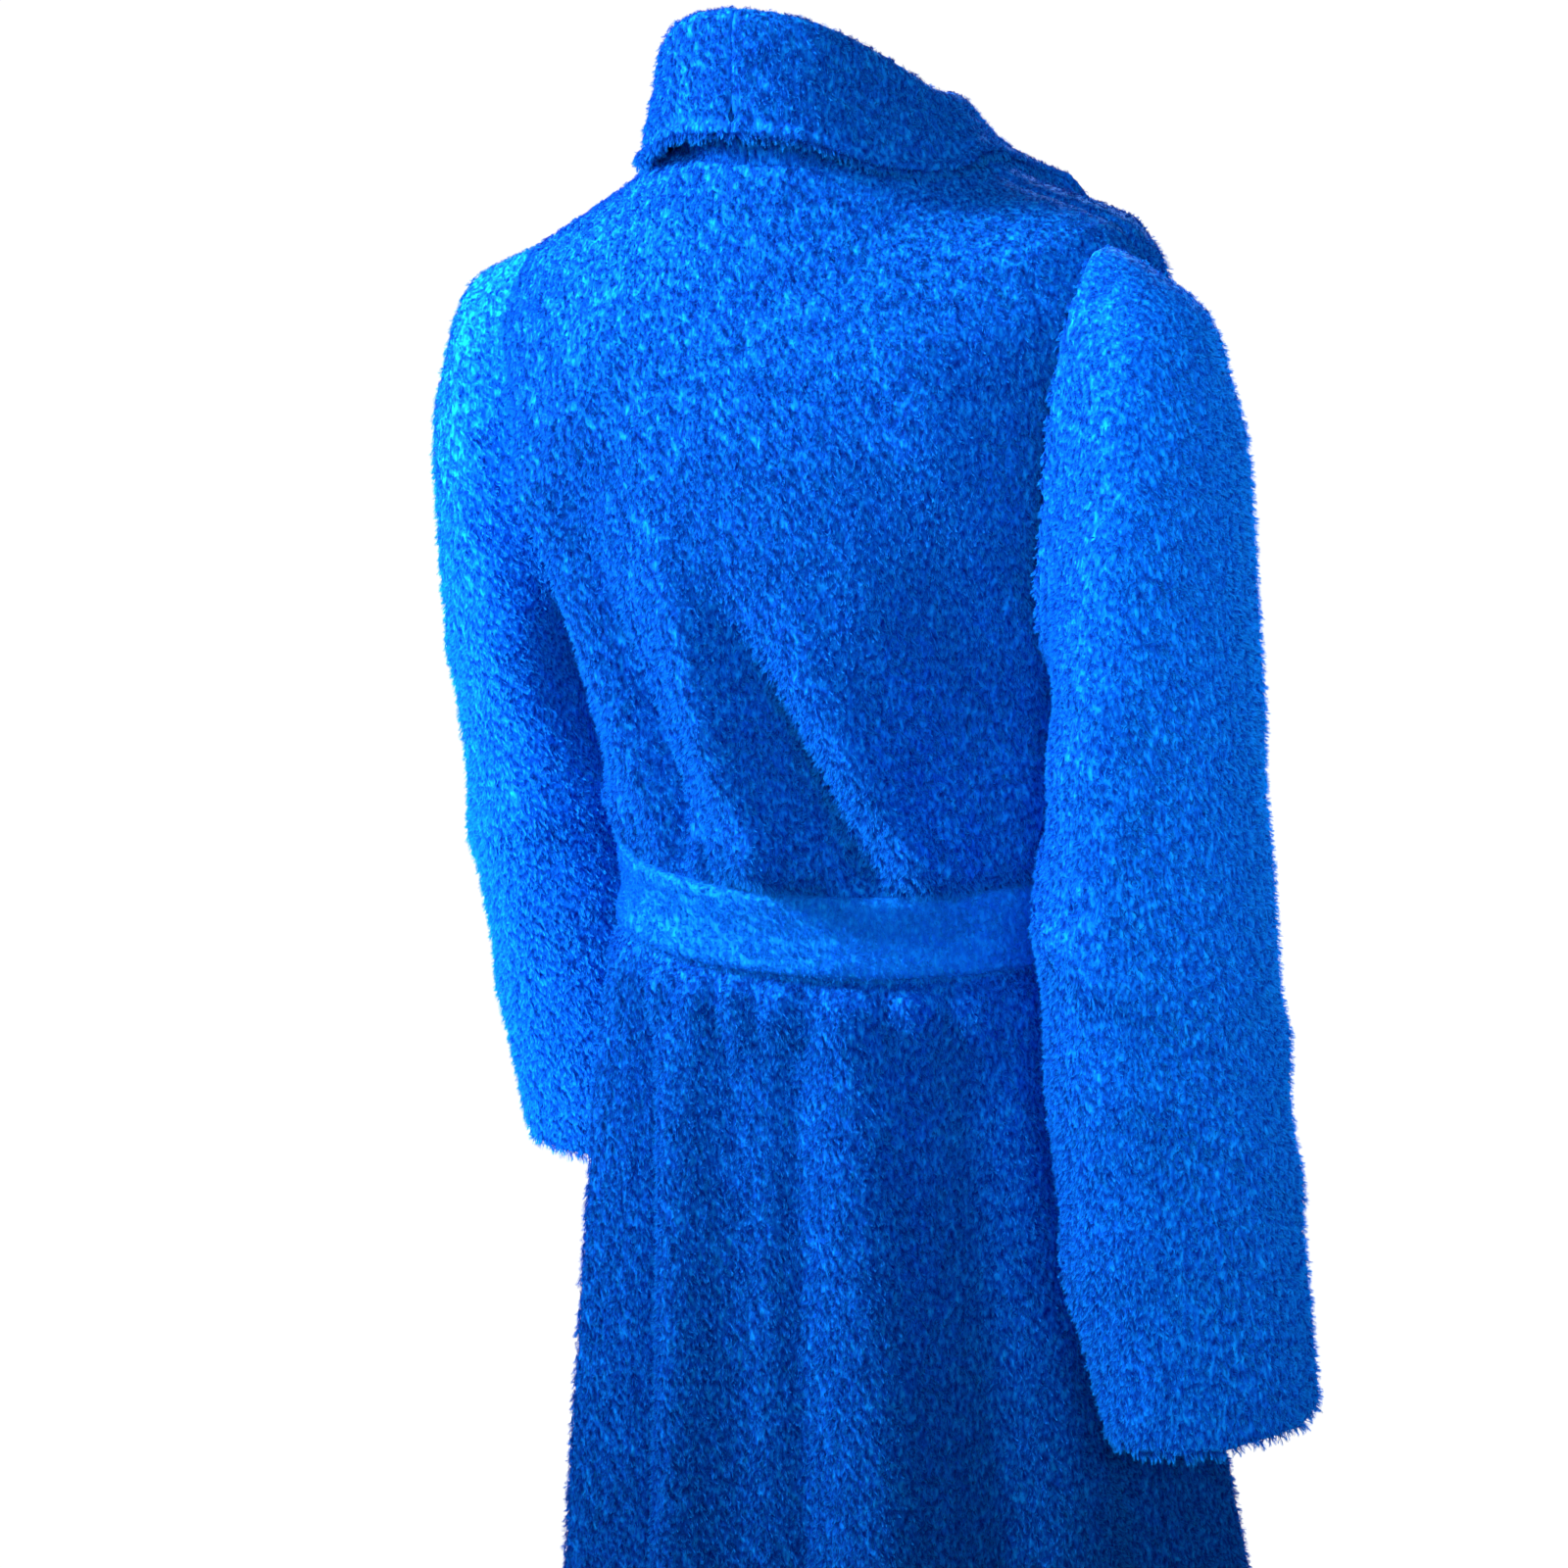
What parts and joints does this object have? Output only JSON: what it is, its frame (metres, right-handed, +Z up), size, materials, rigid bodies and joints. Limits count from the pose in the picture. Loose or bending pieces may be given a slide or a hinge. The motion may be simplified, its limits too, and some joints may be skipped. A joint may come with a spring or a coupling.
{
  "type": "bathrobe",
  "caption": "Long plush bathrobe in its worn shape, with a shawl collar, sleeves that lift, a tied belt, patch pockets and a wrap front that opens.",
  "frame": {"origin": "on the level of the hem, at the middle of the whole robe from side to side and from front to back", "axes": "+Z up along the wearer, -Y the way the wearer faces, +X the wearer's left"},
  "size_m": [0.688, 0.4175, 1.2802],
  "materials": {
    "robe_plush": "long-pile plush",
    "collar_plush": "long-pile plush",
    "belt_plush": "short-pile plush",
    "woven_tape": "woven tape",
    "label_tape": "satin label tape",
    "stitching": "twisted thread"
  },
  "bodies": {
    "torso": {"back_panel": "robe_plush", "front_panel_left": "robe_plush", "front_band_left": "robe_plush", "front_panel_right": "robe_plush", "upper_collar_left": "collar_plush", "upper_collar_right": "collar_plush", "under_collar_left": "collar_plush", "under_collar_right": "collar_plush", "belt_wrap": "belt_plush", "belt_knot": "belt_plush", "belt_loop_left": "robe_plush", "belt_loop_right": "robe_plush", "pocket_left": "robe_plush", "bar_tacks_left": "stitching", "neck_tape": "woven_tape", "neck_label": "label_tape", "care_label": "label_tape"},
    "left_sleeve": {"sleeve_left": "robe_plush"},
    "right_sleeve": {"sleeve_right": "robe_plush"},
    "skirt_flap": {"front_skirt_right": "robe_plush", "front_band_right": "robe_plush", "pocket_right": "robe_plush", "bar_tacks_right": "stitching"},
    "left_tail": {"belt_tail_left": "belt_plush"},
    "right_tail": {"belt_tail_right": "belt_plush"},
    "hang_loop": {"hanging_loop": "woven_tape"}
  },
  "joints": [
    {"name": "left_sleeve_raise", "type": "hinge", "parent": "torso", "child": "left_sleeve", "pos_m": [0.201, 0.01566, 1.125], "axis": [0, -1, 0], "range_deg": [0, 65]},
    {"name": "right_sleeve_raise", "type": "hinge", "parent": "torso", "child": "right_sleeve", "pos_m": [-0.201, 0.01566, 1.125], "axis": [0, 1, 0], "range_deg": [0, 65]},
    {"name": "skirt_open", "type": "hinge", "parent": "torso", "child": "skirt_flap", "pos_m": [-0.246, 0.01516, 0], "axis": [-0.1348, 0, -0.9909], "range_deg": [0, 45]},
    {"name": "left_tail_swing", "type": "hinge", "parent": "torso", "child": "left_tail", "pos_m": [0.103, -0.10234, 0.731], "axis": [-1, 0, 0], "range_deg": [0, 60]},
    {"name": "right_tail_swing", "type": "hinge", "parent": "torso", "child": "right_tail", "pos_m": [0.065, -0.10234, 0.731], "axis": [-1, 0, 0], "range_deg": [0, 60]},
    {"name": "hanging_loop_flip", "type": "hinge", "parent": "torso", "child": "hang_loop", "pos_m": [0, 0.08596, 1.1825], "axis": [-1, 0, 0], "range_deg": [0, 140]}
  ]
}
